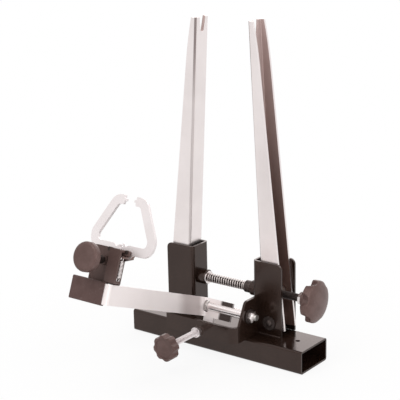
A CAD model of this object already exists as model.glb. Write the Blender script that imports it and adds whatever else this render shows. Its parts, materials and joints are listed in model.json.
"""Looks of a bicycle wheel truing stand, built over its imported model.

Meshes are in metres. Other lengths are in millimetres, where nothing else is said.
"""
import json
import logging
import math
from dataclasses import dataclass, field
from enum import Enum
from functools import cache, cached_property
from typing import Optional, Sequence, Union

import bmesh
import bpy
from bmesh.types import BMEdge, BMesh, BMVert
from bpy.types import ID, Material, Mesh, NodeSocket, NodeTree, Object
from mathutils import Matrix, Vector


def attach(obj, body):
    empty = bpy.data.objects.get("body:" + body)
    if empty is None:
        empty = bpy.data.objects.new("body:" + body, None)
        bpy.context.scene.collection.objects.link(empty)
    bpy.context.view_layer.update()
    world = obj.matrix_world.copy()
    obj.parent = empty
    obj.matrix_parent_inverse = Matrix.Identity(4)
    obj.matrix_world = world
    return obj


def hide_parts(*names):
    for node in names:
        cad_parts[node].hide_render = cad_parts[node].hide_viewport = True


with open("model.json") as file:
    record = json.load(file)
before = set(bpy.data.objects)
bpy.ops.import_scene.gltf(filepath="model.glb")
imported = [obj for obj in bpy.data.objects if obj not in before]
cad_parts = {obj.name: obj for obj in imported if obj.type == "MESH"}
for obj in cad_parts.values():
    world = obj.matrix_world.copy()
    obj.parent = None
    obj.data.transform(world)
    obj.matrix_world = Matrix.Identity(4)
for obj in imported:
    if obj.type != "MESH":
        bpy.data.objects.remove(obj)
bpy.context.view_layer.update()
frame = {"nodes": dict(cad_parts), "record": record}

LOG = logging.getLogger("truing_stand")
MM = 0.001
WHEEL_PLANE_X = -2.4
SPINDLE_Y = 13.0
SPINDLE_Z = 82.0
ARM_PIVOT = (WHEEL_PLANE_X, -25.1, 59.1)
ARM_TILT = 21.9
# Face attributes of plated sheet: unpolished faces and the middle of bends
INSIDE = "inside"
CREASE = "crease"


# ---- shader maths


@dataclass(frozen=True)
class Sock:
    """A node's output socket that takes part in sums and products."""

    tree: "Shader"
    socket: NodeSocket

    def _math(self, operation: str, first: "Value", second: "Value", clamp: bool = False) -> "Sock":
        """Adds a Math node for one operation on two values."""
        settings = {"operation": operation, "use_clamp": clamp}
        return self.tree.node("ShaderNodeMath", settings, {0: first, 1: second})

    def __add__(self, other: "Value") -> "Sock":
        """Sum."""
        return self._math("ADD", self, other)

    __radd__ = __add__

    def __sub__(self, other: "Value") -> "Sock":
        """Difference."""
        return self._math("SUBTRACT", self, other)

    def __rsub__(self, other: "Value") -> "Sock":
        """Difference, with the socket second."""
        return self._math("SUBTRACT", other, self)

    def __mul__(self, other: "Value") -> "Sock":
        """Product."""
        return self._math("MULTIPLY", self, other)

    def clamped(self) -> "Sock":
        """The value held between 0 and 1."""
        return self._math("ADD", self, 0.0, clamp=True)

    def most(self, other: "Value") -> "Sock":
        """The larger of two values."""
        return self._math("MAXIMUM", self, other)

    def between(self, low: float, high: float) -> "Sock":
        """A soft step that is 0 below low and 1 above high."""
        inputs = {0: self, 1: low, 2: high, 3: 0.0, 4: 1.0}
        return self.tree.node("ShaderNodeMapRange", {"interpolation_type": "SMOOTHSTEP"}, inputs)


Value = Union[float, Sock]
Pair = tuple[float, float]
Triple = tuple[float, float, float]
Colour = Triple
EVEN = (1.0, 1.0, 1.0)
UNTURNED = (0.0, 0.0, 0.0)
# A Mix node's sockets for colours, by number, because its sockets share their names
MIX_FIRST, MIX_SECOND, MIX_RESULT = 6, 7, 2


def opaque(value: Union[Colour, Value]) -> Union[tuple[float, ...], Value]:
    """A colour with its alpha; a number or a socket stays as it is."""
    return (*value, 1.0) if isinstance(value, tuple) else value


class Shader:
    """The node tree of one material, or of the world."""

    def __init__(self, name: str, world: Optional[NodeTree] = None) -> None:
        """Empties the tree and gives it an output node.

        Args:
            name: Name of the material.
            world: The world's node tree, where that is built instead.
        """
        self.material = None
        if world is None:
            self.material = bpy.data.materials.new(name)
            self.material.use_nodes = True
        owner = world or self.material.node_tree
        self.nodes, self.links = owner.nodes, owner.links
        self.nodes.clear()
        self.output = self.nodes.new("ShaderNodeOutput" + ("World" if world else "Material"))

    def node(self, kind: str, settings: Optional[dict] = None, inputs: Optional[dict] = None,
             out: Union[int, str] = 0) -> Sock:
        """Adds a node, sets it and links it.

        Args:
            kind: The node's type name.
            settings: Properties that are set first, such as an operation.
            inputs: Values or sockets by input name or index.
            out: Name or index of the output that is returned.

        Returns:
            The chosen output.
        """
        made = self.nodes.new(kind)
        for key, value in (settings or {}).items():
            setattr(made, key, value)
        for key, value in (inputs or {}).items():
            if isinstance(value, Sock):
                self.links.new(value.socket, made.inputs[key])
            else:
                made.inputs[key].default_value = value
        return Sock(self, made.outputs[out])

    def outputs(self, sock: Sock, keys: Sequence[Union[int, str]]) -> tuple[Sock, ...]:
        """Several outputs of the node that a socket is on."""
        return tuple(Sock(self, sock.socket.node.outputs[key]) for key in keys)

    def attribute(self, name: str) -> Sock:
        """The value of a mesh attribute."""
        return self.node("ShaderNodeAttribute", {"attribute_name": name}, out="Fac")

    @cached_property
    def coordinates(self) -> Sock:
        """Object coordinates, made once in a tree."""
        return self.node("ShaderNodeTexCoord", out="Object")

    def point(self, scale: Triple = EVEN, turn: Triple = UNTURNED) -> Sock:
        """Object coordinates, stretched and then turned by degrees about X, Y and Z."""
        mapping = {"Vector": self.coordinates, "Rotation": [math.radians(a) for a in turn]}
        return self.node("ShaderNodeMapping", {"vector_type": "POINT"}, mapping | {"Scale": scale})

    def axes(self) -> tuple[Sock, ...]:
        """The object coordinates' three parts, in metres."""
        return self.outputs(self.node("ShaderNodeSeparateXYZ", None, {0: self.point()}), range(3))

    def noise(self, size: float, detail: float, rough: float, stretch: Triple = EVEN,
              turn: Triple = UNTURNED) -> Sock:
        """Soft noise round 0.5 with blotches of a size; a stretch below 1 draws them out."""
        return self.node("ShaderNodeTexNoise", {"noise_dimensions": "3D"},
                         {"Vector": self.point(stretch, turn), "Scale": 1.0 / (size * MM),
                          "Detail": detail, "Roughness": rough})

    def mix(self, factor: Value, first: Union[Colour, Sock], second: Union[Colour, Sock]) -> Sock:
        """A blend of two colours; a factor of 0 gives the first and 1 the second."""
        inputs = {0: factor, MIX_FIRST: opaque(first), MIX_SECOND: opaque(second)}
        return self.node("ShaderNodeMix", {"data_type": "RGBA"}, inputs, MIX_RESULT)

    def bump(self, height: Sock, depth: float, strength: float,
             under: Optional[Sock] = None) -> Sock:
        """A normal for heights of 0 to 1 that are depth deep, over another bump if given."""
        inputs = {"Height": height, "Distance": depth * MM, "Strength": strength}
        return self.node("ShaderNodeBump", None, inputs | ({"Normal": under} if under else {}))

    def end(self, shader: Sock) -> Optional[Material]:
        """Ends the tree in a shader and gives back the material, if it is one."""
        self.links.new(shader.socket, self.output.inputs["Surface"])
        return self.material

    def surface(self, **inputs: Union[Value, Colour]) -> Optional[Material]:
        """Ends the tree in a Principled shader; names have underscores for spaces."""
        named = {key.replace("_", " "): opaque(value) for key, value in inputs.items()}
        return self.end(self.node("ShaderNodeBsdfPrincipled", None, named))

    def blend(self, factor: Value, first: Sock, second: Sock) -> Optional[Material]:
        """Ends the tree in a blend of two shaders; a factor of 1 gives the second."""
        return self.end(self.node("ShaderNodeMixShader", None, {0: factor, 1: first, 2: second}))


# ---- finishes


WARM_GLOSS = (1.0, 0.78, 0.72)


@dataclass(frozen=True)
class GlossPaint:
    """Glossy enamel on folded steel: orange peel, faint dust and rubbed places."""

    name: str
    dark: Colour
    light: Colour
    rough: float = 0.13
    gloss: float = 0.5
    peel: float = 1.7
    dust: Colour = (0.24, 0.18, 0.165)

    def build(self) -> Material:
        """Makes the paint's material."""
        tree = Shader(self.name)
        clouds = tree.noise(34.0, 3.0, 0.55)
        dust = tree.noise(2.1, 4.0, 0.7).between(0.6, 0.8)
        rubbed = tree.noise(11.0, 5.0, 0.62).between(0.62, 0.74)
        colour = tree.mix(clouds.between(0.3, 0.72), self.dark, self.light)
        colour = tree.mix(dust * 0.08, colour, self.dust)
        normal = tree.bump(tree.noise(self.peel, 2.0, 0.45), 0.035, 0.5)
        normal = tree.bump(tree.noise(24.0, 2.0, 0.4), 0.25, 0.35, normal)
        roughness = (self.rough + clouds * 0.08 + dust * 0.12 + rubbed * 0.1).clamped()
        return tree.surface(Base_Color=colour, Roughness=roughness, Normal=normal,
                            Specular_IOR_Level=self.gloss, Specular_Tint=WARM_GLOSS)


@dataclass(frozen=True)
class Plated:
    """Bright plate over drawn or ground steel, with fine grain along one direction.

    dull gives the distances from the left between which the marked faces begin, and band the
    four places along Y at which a grey reflection comes in, is full, falls off and ends.
    """

    name: str
    colour: Colour
    shade: Colour
    rough: float
    grain: Triple = (1.0, 1.0, 0.05)
    grain_size: float = 0.5
    depth: float = 0.004
    turn: Triple = UNTURNED
    raw: Colour = (0.17, 0.098, 0.080)
    raw_top: Colour = (0.50, 0.39, 0.37)
    pit: Colour = (0.4, 0.35, 0.34)
    grey: Colour = (0.30, 0.235, 0.225)
    bend: Colour = (0.16, 0.12, 0.115)
    metal: float = 1.0
    dull: Optional[Pair] = None
    band: Optional[tuple[float, float, float, float]] = None

    def build(self) -> Material:
        """Makes the plate's material; faces marked as inside stay dark and unpolished."""
        tree = Shader(self.name)
        inside, crease = tree.attribute(INSIDE), tree.attribute(CREASE)
        across, along, height = tree.axes()
        clouds = tree.noise(46.0, 3.0, 0.5)
        grain = tree.noise(self.grain_size, 3.0, 0.6, self.grain, self.turn)
        haze = tree.noise(17.0, 4.0, 0.6).between(0.5, 0.75)
        pits = tree.noise(1.3, 2.0, 0.5).between(0.7, 0.78)
        colour = tree.mix(clouds.between(0.3, 0.75), self.colour, self.shade)
        colour = tree.mix(pits * 0.25, colour, self.pit)
        if self.band:
            low, full, fall, end = (edge * MM for edge in self.band)
            shade = along.between(low, full) * (1.0 - along.between(fall, end))
            colour = tree.mix(shade * 0.62, colour, self.grey)
        if self.dull:
            inside = across.between(self.dull[0] * MM, self.dull[1] * MM) * inside
        raw = tree.mix(height.between(0.1, 0.42), self.raw, self.raw_top)
        colour = tree.mix(inside, colour, raw)
        colour = tree.mix(crease * (height.between(0.3, 0.4) * 0.5 + 0.35), colour, self.bend)
        roughness = (self.rough + grain * 0.07 + haze * 0.07 + pits * 0.15 + inside * 0.3).clamped()
        normal = tree.bump(grain, self.depth, 0.6)
        normal = tree.bump(tree.noise(30.0, 2.0, 0.4), 0.2, 0.25, normal)
        return tree.surface(Base_Color=colour, Roughness=roughness, Normal=normal,
                            Metallic=self.metal - inside * 0.5)


@dataclass(frozen=True)
class Moulded:
    """Moulded plastic with a fine spark-eroded grain and paler worn high spots."""

    name: str
    dark: Colour
    light: Colour
    rough: float = 0.32
    worn: Colour = (0.25, 0.19, 0.18)

    def build(self) -> Material:
        """Makes the plastic's material."""
        tree = Shader(self.name)
        clouds = tree.noise(15.0, 3.0, 0.6)
        grain = tree.noise(0.55, 2.0, 0.6)
        worn = tree.noise(5.5, 5.0, 0.7).between(0.56, 0.72)
        colour = tree.mix(clouds.between(0.3, 0.7), self.dark, self.light)
        colour = tree.mix(worn * 0.18, colour, self.worn)
        roughness = (self.rough + grain * 0.12 - worn * 0.1).clamped()
        return tree.surface(Base_Color=colour, Roughness=roughness,
                            Normal=tree.bump(grain, 0.03, 0.45),
                            Specular_IOR_Level=0.45, Specular_Tint=WARM_GLOSS)


@dataclass(frozen=True)
class OiledSteel:
    """Blackened steel with an oily sheen and bright rubbed crests."""

    name: str
    dark: Colour
    bright: Colour
    rough: float = 0.34
    crest: Colour = (0.3, 0.27, 0.26)

    def build(self) -> Material:
        """Makes the steel's material."""
        tree = Shader(self.name)
        clouds = tree.noise(7.0, 4.0, 0.6)
        rubbed = tree.noise(2.4, 4.0, 0.7).between(0.55, 0.72)
        colour = tree.mix(clouds.between(0.3, 0.75), self.dark, self.bright)
        colour = tree.mix(rubbed * 0.3, colour, self.crest)
        roughness = (self.rough + clouds * 0.15 - rubbed * 0.08).clamped()
        normal = tree.bump(tree.noise(0.8, 3.0, 0.6), 0.02, 0.5)
        return tree.surface(Base_Color=colour, Roughness=roughness, Normal=normal, Metallic=0.75)


class Finish(Enum):
    """The finishes on the stand, each with the record's slot before any dot."""

    PAINT = "black_paint"
    SATIN = "black_paint.satin"
    CHROME = "chrome"
    ARM_CHROME = "chrome.arm"
    JAW_CHROME = "chrome.jaw"
    TURNED_CHROME = "chrome.turned"
    SPRING = "chrome.spring"
    ZINC = "zinc_plate"
    STEEL = "black_steel"
    PLASTIC = "black_plastic"
    CAP = "black_plastic.cap"

    @property
    def slot(self) -> str:
        """The record's material slot."""
        return self.value.split(".")[0]


RECIPES: dict[Finish, Union[GlossPaint, Plated, Moulded, OiledSteel]] = {
    Finish.PAINT: GlossPaint("black_enamel", (0.011, 0.005, 0.003), (0.020, 0.011, 0.008)),
    Finish.SATIN: GlossPaint("satin_enamel", (0.076, 0.046, 0.041), (0.100, 0.064, 0.058),
                             rough=0.36, gloss=0.35),
    Finish.CHROME: Plated("upright_chrome", (0.84, 0.775, 0.765), (0.79, 0.725, 0.715), 0.27),
    Finish.ARM_CHROME: Plated("arm_chrome", (0.94, 0.87, 0.86), (0.90, 0.83, 0.82), 0.3,
                              grain=(1.0, 0.05, 1.0), turn=(ARM_TILT, 0.0, 0.0), metal=0.3,
                              raw=(0.035, 0.02, 0.016), dull=(8.5, 12.5),
                              band=(-96.0, -70.0, -44.0, -34.0)),
    Finish.JAW_CHROME: Plated("jaw_chrome", (0.85, 0.79, 0.79), (0.80, 0.74, 0.735), 0.3,
                              grain=(1.0, 0.2, 1.0), turn=(ARM_TILT, 0.0, 0.0)),
    Finish.TURNED_CHROME: Plated("turned_chrome", (0.80, 0.745, 0.735), (0.70, 0.65, 0.64), 0.22,
                                 grain=EVEN, grain_size=0.8, depth=0.003),
    Finish.SPRING: Plated("spring_wire", (0.64, 0.58, 0.56), (0.52, 0.46, 0.445), 0.16,
                          grain=EVEN, grain_size=0.6),
    Finish.ZINC: Plated("zinc_plate", (0.66, 0.64, 0.62), (0.56, 0.54, 0.51), 0.27,
                        grain=EVEN, grain_size=0.7, depth=0.01),
    Finish.STEEL: OiledSteel("black_steel", (0.040, 0.029, 0.026), (0.085, 0.064, 0.059)),
    Finish.PLASTIC: Moulded("black_plastic", (0.086, 0.050, 0.045), (0.120, 0.074, 0.068)),
    Finish.CAP: Moulded("cap_plastic", (0.066, 0.036, 0.033), (0.090, 0.053, 0.049), 0.42),
}


@cache
def material(finish: Finish) -> Material:
    """The material of a finish, made once."""
    return RECIPES[finish].build()


# ---- places


def place(x: float, y: float, z: float) -> Matrix:
    """A shift by x from the wheel plane, y to the back and z above the ground."""
    return Matrix.Translation(Vector((x + WHEEL_PLANE_X, y, z)) * MM)


def arm_place(x: float = 0.0, y: float = 0.0, z: float = 0.0) -> Matrix:
    """A shift from the arm's pivot in the tilted arm's frame; the arm runs to minus Y."""
    tilt = Matrix.Rotation(math.radians(-ARM_TILT), 4, "X")
    return Matrix.Translation(Vector(ARM_PIVOT) * MM) @ tilt @ Matrix.Translation(
        Vector((x, y, z)) * MM)


# A part made along Z is laid along X, or to the front, by these
ALONG_X = Matrix.Rotation(math.radians(90), 4, "Y")
TO_FRONT = Matrix.Rotation(math.radians(90), 4, "X")


# ---- meshes

Pairs = Sequence[Pair]
# Distance within which doubled corners are merged
WELD = 0.002
# A thread's depth as a share of its pitch, and how far its ridge sinks into the core
THREAD_DEPTH = 0.61
THREAD_SINK = 0.25
# How far a threaded core stands over the thread's root, and the chamfer at its end
CORE_RISE = 0.02
END_CHAMFER = 0.6
# Largest difference in height along a level edge, in metres
LEVEL = 1e-7


def chain(bm: BMesh, points: Sequence[Triple], closed: bool = False) -> list[BMEdge]:
    """Edges through points, back to the first one where the chain is closed."""
    verts = [bm.verts.new(Vector(p) * MM) for p in points]
    return [bm.edges.new(pair) for pair in zip(verts, verts[1:] + (verts[:1] if closed else []))]


def outward(bm: BMesh) -> None:
    """Merges a mesh's doubles, closes its open ends and turns its faces outwards."""
    bmesh.ops.remove_doubles(bm, verts=bm.verts, dist=WELD * MM)
    edges = [e for e in bm.edges if e.is_boundary]
    if edges:
        bmesh.ops.holes_fill(bm, edges=edges, sides=0)
    bmesh.ops.recalc_face_normals(bm, faces=bm.faces)


def lifted(bm: BMesh, height: float) -> BMesh:
    """The same mesh, raised along Z by a height, with its faces turned outwards."""
    bmesh.ops.translate(bm, verts=bm.verts, vec=(0, 0, height * MM))
    bmesh.ops.recalc_face_normals(bm, faces=bm.faces)
    return bm


def round_edges(bm: BMesh, edges: Sequence[BMEdge], width: float, segments: int) -> None:
    """Rounds edges over a width."""
    bmesh.ops.bevel(bm, geom=edges, offset=width * MM, offset_type="OFFSET", segments=segments,
                    profile=0.5, affect="EDGES", clamp_overlap=True, material=-1)


def turned(profile: Pairs, segments: int = 48) -> BMesh:
    """A turned part round Z.

    Args:
        profile: Radius and height pairs; it may start and end on the axis.
        segments: Number of facets round it.

    Returns:
        The closed mesh.
    """
    bm = bmesh.new()
    edges = chain(bm, [(r, 0.0, h) for r, h in profile])
    geom = list({v for e in edges for v in e.verts}) + edges
    bmesh.ops.spin(bm, geom=geom, cent=(0, 0, 0), axis=(0, 0, 1), angle=math.tau, steps=segments,
                   use_merge=True, use_duplicate=False)
    outward(bm)
    return bm


def coil(section: Pairs, stretches: Pairs, steps: int = 24, hand: int = 1) -> BMesh:
    """A section swept round Z while it climbs, from height 0.

    Args:
        section: Closed loop of radius and height pairs.
        stretches: Turns and pitch of each stretch, from below.
        steps: Facets in a turn.
        hand: 1 for a right-hand coil, -1 for a left-hand one.

    Returns:
        The mesh, with both ends closed.
    """
    bm = bmesh.new()
    first = chain(bm, [(r, 0.0, h) for r, h in section], closed=True)
    geom = first + list({v for e in first for v in e.verts})
    for turns, pitch in stretches:
        count = max(2, round(turns * steps))
        made = bmesh.ops.spin(bm, geom=geom, cent=(0, 0, 0), axis=(0, 0, 1),
                              dvec=(0, 0, turns * pitch / count * MM),
                              angle=hand * math.tau * turns, steps=count, use_merge=False)
        geom = made["geom_last"]
    for loop in (first, [e for e in geom if isinstance(e, BMEdge)]):
        bmesh.ops.holes_fill(bm, edges=loop, sides=0)
    return bm


def arc(radius: float, height: float, size: float, start_deg: float, end_deg: float,
        steps: int = 6) -> list[Pair]:
    """Radius and height pairs on an arc round a centre; 0 degrees is outwards and 90 up."""
    angles = [math.radians(start_deg + (end_deg - start_deg) * i / steps) for i in range(steps + 1)]
    return [(radius + size * math.cos(a), height + size * math.sin(a)) for a in angles]


def round_wire(mean_r: float, wire_r: float, sides: int = 8) -> list[Pair]:
    """A wire's round section at a mean radius, as radius and height pairs."""
    return arc(mean_r, 0.0, wire_r, 0.0, 360.0, sides)[:-1]


def thread_root(crest_r: float, pitch: float) -> float:
    """Radius at the bottom of a thread."""
    return crest_r - THREAD_DEPTH * pitch


def thread(crest_r: float, pitch: float, low: float, high: float, steps: int = 24,
           hand: int = 1) -> BMesh:
    """The ridge of a thread round Z.

    Args:
        crest_r: Radius over the thread.
        pitch: Climb in a turn.
        low: Height of its start.
        high: Height that it stays below.
        steps: Facets in a turn.
        hand: 1 for a right-hand thread, -1 for a left-hand one.

    Returns:
        The closed ridge.
    """
    root = thread_root(crest_r, pitch)
    sunk = root - THREAD_SINK
    section = [(sunk, 0.0), (root, 0.04 * pitch), (crest_r, 0.4 * pitch),
               (crest_r, 0.54 * pitch), (root, 0.9 * pitch), (sunk, 0.94 * pitch)]
    turns = math.floor((high - low) / pitch - 1)
    return lifted(coil(section, [(turns, pitch)], steps, hand), low)


def hexagon(flats: float, low: float, high: float, chamfer: float) -> BMesh:
    """A hexagonal nut along Z with its corners rounded off.

    Args:
        flats: Width over the flats.
        low: Lower end.
        high: Upper end.
        chamfer: Size of the corner chamfer.

    Returns:
        The closed mesh.
    """
    bm = bmesh.new()
    corner_r = flats / 2 / math.cos(math.pi / 6)
    bmesh.ops.create_circle(bm, cap_ends=True, segments=6, radius=corner_r * MM)
    grown = bmesh.ops.extrude_face_region(bm, geom=bm.faces[:])
    tops = [v for v in grown["geom"] if isinstance(v, BMVert)]
    bmesh.ops.translate(bm, verts=bm.verts, vec=(0, 0, low * MM))
    bmesh.ops.translate(bm, verts=tops, vec=(0, 0, (high - low) * MM))
    level = [e for e in bm.edges if abs(e.verts[0].co.z - e.verts[1].co.z) < LEVEL]
    round_edges(bm, level, chamfer, segments=3)
    outward(bm)
    return bm


@dataclass(frozen=True)
class Hollows:
    """The round hollows between the lobes of a hand knob round Z.

    depth holds at height 0, and a lean above 0 makes the hollows run out towards the front.
    width is a share of the room between two lobes, and nothing within core is moved. The edge
    is found by halvings, with no exponent above steepest.
    """

    radius: float
    lobes: int
    depth: float
    lean_deg: float
    first_deg: float
    lip: float
    width: float = 0.62
    core: float = 0.5
    segments: int = 168
    halvings: int = 18
    steepest: float = 40.0

    def reach(self, start: float, angle: float, height: float) -> float:
        """How far out the knob goes in one direction.

        Args:
            start: Radius without the hollows.
            angle: Direction round the axis, in radians.
            height: Height above the knob's back.

        Returns:
            The radius, at most as large as start.
        """
        lean, step = math.radians(self.lean_deg), math.tau / self.lobes
        size = self.radius * math.sin(math.pi / self.lobes) * self.width
        off = (angle - math.radians(self.first_deg) + step / 2) % step - step / 2
        centre = (self.radius - self.depth + size / math.cos(lean)
                  + math.tan(lean) * max(height, 0.0))
        low, high = 0.0, start
        for _ in range(self.halvings):
            middle = (low + high) / 2
            along = (middle * math.cos(off) - centre) * math.cos(lean)
            clear = math.hypot(along, middle * math.sin(off)) - size
            hollow = math.exp(min(-clear / self.lip, self.steepest))
            blend = math.exp((middle - start) / self.lip) + hollow
            low, high = (middle, high) if blend < 1.0 else (low, middle)
        return low

    def cut(self, profile: Pairs) -> BMesh:
        """Turns a knob and sinks the hollows into it.

        Args:
            profile: Radius and height pairs, from the back of the axis to its front.

        Returns:
            The closed mesh.
        """
        bm = turned(profile, self.segments)
        for v in bm.verts:
            start = math.hypot(v.co.x, v.co.y) / MM
            if start > self.core:
                scale = self.reach(start, math.atan2(v.co.y, v.co.x), v.co.z / MM) / start
                v.co.x, v.co.y = v.co.x * scale, v.co.y * scale
        bmesh.ops.recalc_face_normals(bm, faces=bm.faces)
        return bm


def join(*parts: BMesh) -> BMesh:
    """One mesh that holds several, which are freed."""
    whole = bmesh.new()
    for part in parts:
        carrier = bpy.data.meshes.new("carrier")
        part.to_mesh(carrier)
        part.free()
        whole.from_mesh(carrier)
        bpy.data.meshes.remove(carrier)
    return whole


def weigh_normals(data: Mesh, sharp_deg: float) -> None:
    """Weighs corner normals by face area, so that flat faces beside a rounding stay flat.

    Args:
        data: The mesh.
        sharp_deg: Faces that meet at a larger angle keep a hard edge.
    """
    limit = math.cos(math.radians(sharp_deg))
    around: list[list[tuple[Vector, Vector]]] = [[] for _ in data.vertices]
    for polygon in data.polygons:
        normal = polygon.normal.copy()
        for vertex in polygon.vertices:
            around[vertex].append((normal, normal * polygon.area))
    normals = [Vector((0.0, 0.0, 1.0))] * len(data.loops)
    for polygon in data.polygons:
        own = polygon.normal
        for corner, vertex in zip(polygon.loop_indices, polygon.vertices):
            total = Vector()
            for normal, weighed in around[vertex]:
                if normal.dot(own) > limit:
                    total += weighed
            normals[corner] = total.normalized() if total.length > 0.0 else own
    data.normals_split_custom_set(normals)


def link(name: str, data: Optional[ID]) -> Object:
    """A new object in the scene for a mesh, lamp or camera, at the origin."""
    made = bpy.data.objects.new(name, data)
    bpy.context.scene.collection.objects.link(made)
    return made


@dataclass
class Piece:
    """A mesh that becomes an object on a body of the stand."""

    name: str
    mesh: BMesh
    body: str
    finish: Finish
    at: Matrix = field(default_factory=lambda: Matrix.Identity(4))
    replaces: Sequence[str] = ()
    sharp_deg: float = 32.0

    def publish(self) -> None:
        """Makes the object, dresses it and sets it on its body, with its place in its mesh."""
        bmesh.ops.transform(self.mesh, matrix=self.at, verts=self.mesh.verts)
        bmesh.ops.triangulate(self.mesh, faces=[f for f in self.mesh.faces if len(f.verts) > 4])
        data = bpy.data.meshes.new(self.name)
        self.mesh.to_mesh(data)
        self.mesh.free()
        for polygon in data.polygons:
            polygon.use_smooth = True
        data.set_sharp_from_angle(angle=math.radians(self.sharp_deg))
        weigh_normals(data, self.sharp_deg)
        data.materials.append(material(self.finish))
        piece = link(self.name, data)
        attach(piece, self.body)
        if self.replaces:
            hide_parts(*self.replaces)
        LOG.info("%s: %d faces on %s", self.name, len(data.polygons), self.body)


# ---- sub-assemblies


@dataclass
class CarriedNodes:
    """Finishes of the CAD nodes whose shape is shown as it is."""

    finishes: dict[Finish, Sequence[str]] = field(default_factory=lambda: {
        Finish.PAINT: ["left_spindle_bush", "right_spindle_bush"],
        Finish.TURNED_CHROME: ["spring_washer", "left_pivot_sleeve", "right_pivot_sleeve",
                               "spindle_jam_nut", "arm_pivot_tube"],
        Finish.ZINC: ["left_pivot_nut", "right_pivot_nut", "left_trunnion", "right_trunnion",
                      "adjuster_foot", "arm_pivot_bolt", "spreader_cone"],
        Finish.STEEL: ["spring_collar", "spreader_screw", "left_jaw_pin", "right_jaw_pin",
                       "left_pivot_bolt", "right_pivot_bolt", "left_pivot_washers",
                       "right_pivot_washers", "arm_pivot_washer"],
    })

    def build(self) -> None:
        """Dresses the listed nodes, and all others by their record slot."""
        finish_of = {node: finish for finish, nodes in self.finishes.items() for node in nodes}
        for row in frame["record"]["subparts"]:
            node = row["node"]
            finish = finish_of.get(node) or Finish(row["material_slot"])
            data = frame["nodes"][node].data
            data.materials.clear()
            data.materials.append(material(finish))
            LOG.info("%s keeps its shape and gets %s", node, finish.name)


@dataclass
class SheetParts:
    """The folded and cut sheet parts, with the edges that shears and polishing leave.

    Each row has the width of its edges' rounding, its finish and its body.
    """

    sheets: dict[str, tuple[float, Finish, str]] = field(default_factory=lambda: {
        "base_tube": (0.35, Finish.PAINT, "stand"),
        "left_bracket": (0.45, Finish.PAINT, "stand"),
        "right_bracket": (0.45, Finish.PAINT, "stand"),
        "front_bracket": (0.5, Finish.PAINT, "stand"),
        "left_upright": (0.4, Finish.CHROME, "left_leg"),
        "right_upright": (0.4, Finish.CHROME, "right_leg"),
        "caliper_arm": (0.4, Finish.ARM_CHROME, "arm"),
        "arm_end_cap": (0.5, Finish.CAP, "arm"),
        "caliper_body": (0.45, Finish.SATIN, "arm"),
        "left_jaw": (0.6, Finish.JAW_CHROME, "left_finger"),
        "right_jaw": (0.6, Finish.JAW_CHROME, "right_finger"),
    })
    weld: float = 0.004
    flat_deg: float = 0.8
    edge_deg: float = 38.0
    sharp_deg: float = 50.0
    inner_half: float = 10.9
    inner_turn: float = 0.2
    bend_turn: float = 0.35
    fork_turn: float = 0.5
    hub_top: float = 49.0
    hub_side: float = 21.5

    def soften(self, node: str, width: float) -> BMesh:
        """A copy of a CAD node's mesh with its sharp edges rounded over a width."""
        bm = bmesh.new()
        bm.from_mesh(frame["nodes"][node].data)
        bmesh.ops.remove_doubles(bm, verts=bm.verts, dist=self.weld * MM)
        bmesh.ops.dissolve_limit(bm, angle_limit=math.radians(self.flat_deg), verts=bm.verts,
                                 edges=bm.edges, use_dissolve_boundaries=False)
        bmesh.ops.recalc_face_normals(bm, faces=bm.faces)
        edge = math.radians(self.edge_deg)
        sharp = [e for e in bm.edges if len(e.link_faces) == 2 and e.calc_face_angle(0.0) > edge]
        round_edges(bm, sharp, width, segments=2)
        return bm

    def mark_channel(self, bm: BMesh, side: int) -> None:
        """Marks the faces inside an upright's channel and the middle of its bends.

        Args:
            bm: The upright's mesh.
            side: -1 for the left upright, 1 for the right one.
        """
        layer = bm.faces.layers.float.new(INSIDE)
        bends = bm.faces.layers.float.new(CREASE)
        for face in bm.faces:
            across = face.calc_center_median().y / MM - SPINDLE_Y
            back = face.normal.x * side
            inner = -face.normal.y * math.copysign(1.0, across)
            if abs(across) < self.inner_half and max(back, inner) > self.inner_turn:
                face[layer] = 1.0
            elif -back > self.bend_turn and -inner > self.bend_turn:
                face[bends] = 1.0

    def mark_fork(self, bm: BMesh, _side: int) -> None:
        """Marks the front of the arm's forked end, which faces the dark side of the room.

        Args:
            bm: The arm's mesh.
            _side: Not used, because the arm is one piece.
        """
        layer = bm.faces.layers.float.new(INSIDE)
        for face in bm.faces:
            if face.normal.y < -self.fork_turn:
                face[layer] = 1.0

    def mark_hub(self, bm: BMesh, side: int) -> None:
        """Marks the blackened hub, lever and teeth of a jaw, round and below its pin.

        Args:
            bm: The jaw's mesh.
            side: -1 for the left jaw, 1 for the right one.
        """
        layer = bm.faces.layers.float.new(INSIDE)
        to_arm = arm_place().inverted()
        for face in bm.faces:
            at = to_arm @ face.calc_center_bounds() / MM
            if at.z < self.hub_top and at.x * side < self.hub_side:
                face[layer] = 1.0

    def build(self) -> None:
        """Makes the softened sheet parts."""
        marks = {"upright": self.mark_channel, "arm": self.mark_fork, "jaw": self.mark_hub}
        for node, (width, finish, body) in self.sheets.items():
            mesh = self.soften(node, width)
            mark = marks.get(node.split("_")[-1])
            if mark:
                mark(mesh, -1 if node.startswith("left") else 1)
            Piece(f"{node}_shell", mesh, body, finish, replaces=[node],
                  sharp_deg=self.sharp_deg).publish()


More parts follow.
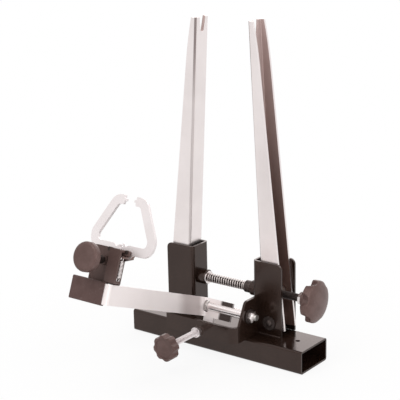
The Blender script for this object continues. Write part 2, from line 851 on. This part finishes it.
@dataclass
class Spindle:
    """The threaded spindle with its spring and star knob, along X."""

    pitch: float = 1.5
    crest_r: float = 5.0
    left_end: float = -88.4
    web_back: float = 50.3
    right_end: float = 130.8
    waist: Pair = (-36.1, 35.5)
    waist_r: float = 4.0
    spring_span: Pair = (-34.3, 25.8)
    spring_turns: float = 17.0
    closed_turns: float = 0.9
    wire: float = 1.52
    coil_r: float = 6.05
    nut_out: float = 113.3
    knob_back: float = 123.3
    rim: float = 8.0
    thickness: float = 15.0
    radius: float = 27.0
    rounding: float = 2.6
    hub_r: float = 11.0
    dome_steps: int = 20

    def rod(self) -> BMesh:
        """The rod with a left-hand thread at one end and a right-hand one at the other."""
        root, crest = thread_root(self.crest_r, self.pitch) + CORE_RISE, self.crest_r
        start, (low, high) = self.left_end, self.waist
        core = turned([
            (0, start), (root - END_CHAMFER, start), (root, start + 0.8), (root, -self.web_back),
            (crest, -self.web_back), (crest, low), (self.waist_r, low), (self.waist_r, high),
            (crest, high), (crest, self.web_back), (root, self.web_back), (root, self.right_end),
            (0, self.right_end),
        ])
        return join(core, thread(crest, self.pitch, start + END_CHAMFER, -self.web_back),
                    thread(crest, self.pitch, self.web_back, self.nut_out - 1.0, hand=-1))

    def spring(self) -> BMesh:
        """The compression spring with closed ends."""
        low, high = self.spring_span
        wire_r, closed = self.wire / 2, self.closed_turns
        free = self.spring_turns - 2 * closed
        pitch = (high - low - self.wire - 2 * closed * self.wire) / free
        section = round_wire(self.coil_r - wire_r, wire_r, 12)
        bm = coil(section, [(closed, self.wire), (free, pitch), (closed, self.wire)], 32)
        return lifted(bm, low + wire_r)

    def knob(self) -> BMesh:
        """The star knob with its hub; its back is at height 0 and its front is domed."""
        hub_r, radius, soft = self.hub_r, self.radius, self.rounding
        hub, rise = self.nut_out - self.knob_back, self.thickness - self.rim
        side = [(radius, soft + (self.rim - soft) * i / 4) for i in range(1, 4)]
        angles = [math.radians(90.0 * i / self.dome_steps) for i in range(self.dome_steps)]
        dome = [(radius * math.cos(a), self.rim + rise * math.sin(a)) for a in angles]
        profile = [(0, hub), (hub_r - 0.8, hub), (hub_r, hub + 0.8), (hub_r, -1.0),
                   *arc(hub_r + 1.0, -1.0, 1.0, 180, 90, 3), (16.0, 0.0), (20.0, 0.0),
                   *arc(radius - soft, soft, soft, -90, 0), *side, *dome, (0, self.thickness)]
        hollows = Hollows(radius, lobes=6, depth=8.0, lean_deg=27.0, first_deg=130.0, lip=0.3)
        return lifted(hollows.cut(profile), self.knob_back)

    def build(self) -> None:
        """Makes the spindle's pieces."""
        axis = place(0, SPINDLE_Y, SPINDLE_Z) @ ALONG_X
        Piece("spindle_rod", self.rod(), "spindle_set", Finish.STEEL, axis,
              ["spindle"], 24.0).publish()
        Piece("spindle_coil", self.spring(), "stand", Finish.SPRING, axis,
              ["spindle_spring"], 60.0).publish()
        Piece("star_knob", self.knob(), "spindle_set", Finish.PLASTIC, axis,
              ["spindle_knob"], 40.0).publish()


@dataclass
class Adjuster:
    """The radial adjuster's knob, screw and bush, along Y."""

    knob_back: float = -114.3
    thickness: float = 11.0
    radius: float = 17.0
    rounding: float = 1.4
    left: float = 2.5
    height: float = 35.6
    screw_r: float = 4.0
    pitch: float = 1.25
    screw_end: float = -41.1
    into_knob: float = 6.6
    foot_r: float = 1.56
    foot_depth: float = 4.0
    bush_front: float = -61.3
    bush_back: float = -50.2
    ring_r: float = 6.7
    spigot_r: float = 4.5

    def knob(self) -> BMesh:
        """The scalloped knob with a rim round a dished face, its back at height 0."""
        high, radius, soft = self.thickness, self.radius, self.rounding
        side = [(radius, soft + (high - 2 * soft) * i / 5) for i in range(1, 5)]
        profile = [(0, 0), (6, 0), (12, 0), *arc(radius - soft, soft, soft, -90, 0, 5), *side,
                   *arc(radius - soft, high - soft, soft, 0, 90, 5), (radius - 3.0, high),
                   *arc(radius - 3.9, high - 0.5, 0.5, 90, 180, 3), (radius - 4.7, high - 1.1),
                   (radius - 5.6, high - 1.3), (6, high - 1.3), (5.2, high - 1.2), (0, high - 1.0)]
        hollows = Hollows(radius, lobes=8, depth=2.4, lean_deg=0.0, first_deg=34.5, lip=0.5)
        return hollows.cut(profile)

    def screw(self) -> BMesh:
        """The threaded screw, with its height from the bush's face and a recess for the foot."""
        root, foot_r = thread_root(self.screw_r, self.pitch) + CORE_RISE, self.foot_r
        low = self.bush_front - self.screw_end
        high = self.bush_front - self.knob_back + self.into_knob
        core = turned([(0, low + self.foot_depth), (foot_r, low + self.foot_depth), (foot_r, low),
                       (root - END_CHAMFER, low), (root, low + END_CHAMFER), (root, high),
                       (0, high)], 40)
        return join(core, thread(self.screw_r, self.pitch, low + END_CHAMFER, high, 20))

    def bush(self) -> BMesh:
        """The pressed-in bush with a countersunk mouth; its height runs back from its face."""
        inner, outer, depth = self.screw_r + 0.06, self.ring_r, self.bush_front - self.bush_back
        return turned([(inner, 1.7), (5.3, 1.7), (5.45, 0.3), (5.7, 0.0), (outer - 0.4, 0.0),
                       (outer - 0.15, 0.2), (outer, 0.5), (outer, 5.0), (self.spigot_r, 5.0),
                       (self.spigot_r, -depth), (inner, -depth), (inner, 1.7)], 56)

    def build(self) -> None:
        """Makes the adjuster's pieces."""
        at = place(-self.left, self.knob_back, self.height) @ TO_FRONT
        Piece("adjuster_handle", self.knob(), "adjuster", Finish.PLASTIC, at,
              ["adjuster_knob"], 40.0).publish()
        at = place(-self.left, self.bush_front, self.height) @ TO_FRONT
        Piece("adjuster_ring", self.bush(), "stand", Finish.JAW_CHROME,
              at @ Matrix.Rotation(math.pi, 4, "X"), ["adjuster_bush"], 50.0).publish()
        Piece("adjuster_rod", self.screw(), "adjuster", Finish.JAW_CHROME, at,
              ["adjuster_screw"], 24.0).publish()


@dataclass
class Caliper:
    """The caliper head's round knob and the jaws' spring, in the arm's frame."""

    knob_front: float = -250.3
    thickness: float = 10.0
    radius: float = 17.5
    spreader: Pair = (-16.3, 36.2)
    spring_at: Pair = (9.4, -214.4)
    spring_span: Pair = (19.0, 38.65)
    loops_at: Pair = (17.3, 41.25)
    loop_turns: float = 0.86
    spring_turns: float = 13.0
    wire: float = 1.2
    mean_r: float = 2.6
    loop_r: float = 2.2
    loop_turn_deg: float = 25.0

    def knob(self) -> BMesh:
        """The smooth round knob, its back at height 0."""
        radius, high = self.radius, self.thickness
        return turned([
            (0, 0), (7.0, 0), (radius - 2.2, 0), (radius - 0.9, 0.4), (radius, 1.8),
            (radius, high - 2.6), (radius - 0.5, high - 1.2), (radius - 1.5, high - 0.35),
            (radius - 3.0, high), (radius - 4.6, high - 0.12), (6.0, high - 0.35), (0, high - 0.4),
        ], 96)

    def spring(self) -> BMesh:
        """The tension spring with its end loops."""
        wire_r, turns = self.wire / 2, self.spring_turns
        low, high = self.spring_span
        body = coil(round_wire(self.mean_r, wire_r), [(turns, (high - low) / turns)], 20)
        parts = [lifted(body, low)]
        for z, side in zip(self.loops_at, (1, -1)):
            loop = coil(round_wire(self.loop_r, wire_r), [(self.loop_turns, 0.0)], 20)
            turn = Matrix.Rotation(math.radians(self.loop_turn_deg * side), 4, "Z")
            bmesh.ops.transform(loop, matrix=ALONG_X @ turn, verts=loop.verts)
            parts.append(lifted(loop, z))
        return join(*parts)

    def build(self) -> None:
        """Makes the caliper head's pieces."""
        x, z = self.spreader
        at = arm_place(x, self.knob_front + self.thickness, z) @ TO_FRONT
        Piece("caliper_handle", self.knob(), "spreader", Finish.PLASTIC, at,
              ["caliper_knob"], 50.0).publish()
        Piece("jaw_coil", self.spring(), "arm", Finish.TURNED_CHROME, arm_place(*self.spring_at),
              ["jaw_spring"], 60.0).publish()


@dataclass
class Fasteners:
    """The locknut with the bolt's end, and the weld beads."""

    bolt_r: float = 4.0
    bolt_pitch: float = 1.25
    bolt_thread: Pair = (64.9, 68.8)
    locknut_flats: float = 13.0
    locknut_at: float = 58.0
    locknut_height: float = 7.0
    hexagon_share: float = 0.78
    collar_r: float = 5.9
    base_top: float = 30.2
    web_front: float = 47.3
    bracket_back: float = 88.0
    ear_x: float = 52.8
    ripple_step: float = 0.62

    def locknut(self) -> BMesh:
        """The locknut with its rounded collar."""
        start, inner = self.locknut_at, self.bolt_r + 0.05
        end = start + self.locknut_height
        hexagon_end = start + self.locknut_height * self.hexagon_share
        nut = hexagon(self.locknut_flats, start, hexagon_end, chamfer=0.6)
        collar = turned([(inner, start), (self.collar_r, start), (self.collar_r, end - 0.9),
                         (5.4, end - 0.2), (4.7, end), (inner, end), (inner, start)])
        return join(nut, collar)

    def bead(self, start: Triple, end: Triple, radius: float) -> BMesh:
        """A weld bead of overlapping ripples.

        Args:
            start: First end.
            end: Other end.
            radius: Radius of the bead.

        Returns:
            The bead's mesh.
        """
        bm = bmesh.new()
        a, b = Vector(start), Vector(end)
        count = max(2, round((b - a).length / (radius * self.ripple_step)))
        for i in range(count + 1):
            size = radius * (1.0 + 0.1 * math.sin(2.3 * i) + 0.06 * math.sin(5.1 * i + 1.0))
            ripple = bmesh.ops.create_icosphere(bm, subdivisions=2, radius=size * MM)["verts"]
            bmesh.ops.scale(bm, vec=(1.0, 1.0, 0.85), verts=ripple)
            bmesh.ops.translate(bm, vec=a.lerp(b, i / count) * MM, verts=ripple)
        return bm

    def welds(self) -> BMesh:
        """The beads where the brackets stand on the base and meet each other."""
        low, ear = self.base_top, WHEEL_PLANE_X + self.ear_x
        lines = []
        for side in (-1, 1):
            inner = WHEEL_PLANE_X + side * self.web_front
            outer = WHEEL_PLANE_X + side * self.bracket_back
            lines.append(((inner, -1.0, low), (inner, 27.0, low), 1.6))
            lines.append(((inner + side * 6, -4.0, low), (outer, -4.0, low), 1.5))
        lines.append(((ear, -28.0, low), (ear, -5.5, low), 1.5))
        lines.append(((ear - 0.2, -4.4, 34.0), (ear - 0.2, -4.4, 77.0), 1.4))
        return join(*[self.bead(*line) for line in lines])

    def build(self) -> None:
        """Makes the small fixed pieces."""
        axis = place(0, ARM_PIVOT[1], ARM_PIVOT[2]) @ ALONG_X
        Piece("locknut", self.locknut(), "stand", Finish.TURNED_CHROME, axis,
              ["arm_pivot_locknut"]).publish()
        Piece("locknut_thread", thread(self.bolt_r + 0.32, self.bolt_pitch, *self.bolt_thread),
              "stand", Finish.ZINC, axis).publish()
        Piece("weld_beads", self.welds(), "stand", Finish.PAINT, sharp_deg=50.0).publish()


# ---- studio


@dataclass(frozen=True)
class Lamp:
    """A square soft lamp, with its place and side in metres."""

    name: str
    at: Triple
    side: float
    watts: float
    colour: Colour = (1.0, 1.0, 1.0)

    def light(self, target: Triple) -> None:
        """Adds the lamp to the scene, facing a target in metres."""
        data = bpy.data.lights.new(self.name, "AREA")
        data.size, data.energy, data.color = self.side, self.watts, self.colour
        lamp = link(self.name, data)
        lamp.location = Vector(self.at)
        lamp.rotation_mode = "QUATERNION"
        aim = Vector(target) - Vector(self.at)
        lamp.rotation_quaternion = aim.to_track_quat("-Z", "Y")


@dataclass
class Studio:
    """Camera, backdrop, floor and lamps; the lamps' target and the floor are in metres."""

    focal_px: float = 1201.213
    frame_px: float = 400.0
    sensor: float = 36.0
    azimuth: float = 37.469
    pitch: float = 15.728
    roll: float = 1.303
    clip: Pair = (0.05, 20.0)
    eye: Triple = (868.619, -1184.4, 611.133)
    target: Triple = (0.0, -0.03, 0.16)
    lamps: tuple[Lamp, ...] = (
        Lamp("key", (-0.3, -1.2, 2.0), 1.3, 16.0, (1.0, 0.985, 0.97)),
        Lamp("fill", (1.7, -0.5, 0.9), 1.4, 10.0),
        Lamp("rim", (0.5, 1.4, 1.4), 1.3, 8.0),
        Lamp("glare", (-0.85, 1.35, 0.62), 1.1, 5.0, (1.0, 0.9, 0.88)),
    )
    daylight: Colour = (1.0, 0.985, 0.98)
    daylight_strength: float = 0.62
    floor_r: float = 3.0
    floor_drop: float = 0.0004
    floor_colour: Colour = (0.86, 0.855, 0.85)
    shadow: Pair = (0.12, 0.42)
    shadow_share: float = 0.12

    def camera(self) -> None:
        """Sets the camera where the photograph was taken from."""
        a, p, r = (math.radians(v) for v in (self.azimuth, self.pitch, self.roll))
        back = Vector((math.sin(a) * math.cos(p), -math.cos(a) * math.cos(p), math.sin(p)))
        right = (-back).cross(Vector((0, 0, 1))).normalized()
        down = (-back).cross(right)
        turned_right = math.cos(r) * right + math.sin(r) * down
        turned_down = -math.sin(r) * right + math.cos(r) * down
        data = bpy.data.cameras.new("camera")
        data.sensor_width = self.sensor
        data.lens = self.focal_px * self.sensor / self.frame_px
        data.clip_start, data.clip_end = self.clip
        eye = link("camera", data)
        turn = Matrix((turned_right, -turned_down, back)).transposed()
        eye.matrix_world = Matrix.Translation(Vector(self.eye) * MM) @ turn.to_4x4()
        bpy.context.scene.camera = eye

    def seen(self, tree: Shader) -> Sock:
        """A mask for the rays that show the backdrop.

        Args:
            tree: The tree that it is made in.

        Returns:
            1 where the camera, a gloss or a clear part looks on, else 0.
        """
        kinds = ("Is Camera Ray", "Is Glossy Ray", "Is Transmission Ray")
        camera, gloss, clear = tree.outputs(tree.node("ShaderNodeLightPath"), kinds)
        return camera.most(gloss).most(clear)

    def world(self) -> None:
        """A white backdrop for the camera and for gloss, and a plain grey light for the rest."""
        world = bpy.data.worlds.new("studio")
        world.use_nodes = True
        bpy.context.scene.world = world
        tree = Shader("backdrop", world.node_tree)
        white = tree.node("ShaderNodeBackground", None, {"Color": opaque(EVEN)})
        soft = {"Color": opaque(self.daylight), "Strength": self.daylight_strength}
        tree.blend(self.seen(tree), tree.node("ShaderNodeBackground", None, soft), white)

    def floor(self) -> None:
        """A pale floor that is white to the camera and keeps a faint shadow near the stand."""
        bm = bmesh.new()
        bmesh.ops.create_circle(bm, cap_ends=True, segments=64, radius=self.floor_r)
        bmesh.ops.translate(bm, verts=bm.verts, vec=(0, 0, -self.floor_drop))
        data = bpy.data.meshes.new("floor")
        bm.to_mesh(data)
        bm.free()
        tree = Shader("pale_floor")
        length = {"operation": "LENGTH"}
        away = tree.node("ShaderNodeVectorMath", length, {0: tree.point()}, "Value")
        share = away.between(*self.shadow) * self.shadow_share + (1.0 - self.shadow_share)
        matt = tree.node("ShaderNodeBsdfDiffuse", None, {"Color": opaque(self.floor_colour)})
        white = tree.node("ShaderNodeEmission", None, {"Color": opaque(EVEN), "Strength": 1.0})
        data.materials.append(tree.blend(self.seen(tree) * share, matt, white))
        link("floor", data)

    def build(self) -> None:
        """Sets up the studio."""
        self.camera()
        self.world()
        self.floor()
        for lamp in self.lamps:
            lamp.light(self.target)
        settings = bpy.context.scene.view_settings
        settings.view_transform = "Standard"


def main() -> None:
    """Builds the stand's looks in order."""
    logging.basicConfig(level=logging.INFO, format="%(name)s %(message)s")
    groups = (Studio(), CarriedNodes(), SheetParts(), Spindle(), Adjuster(), Caliper(), Fasteners())
    for group in groups:
        group.build()
        LOG.info("%s done", type(group).__name__)


if __name__ == "__main__":
    main()
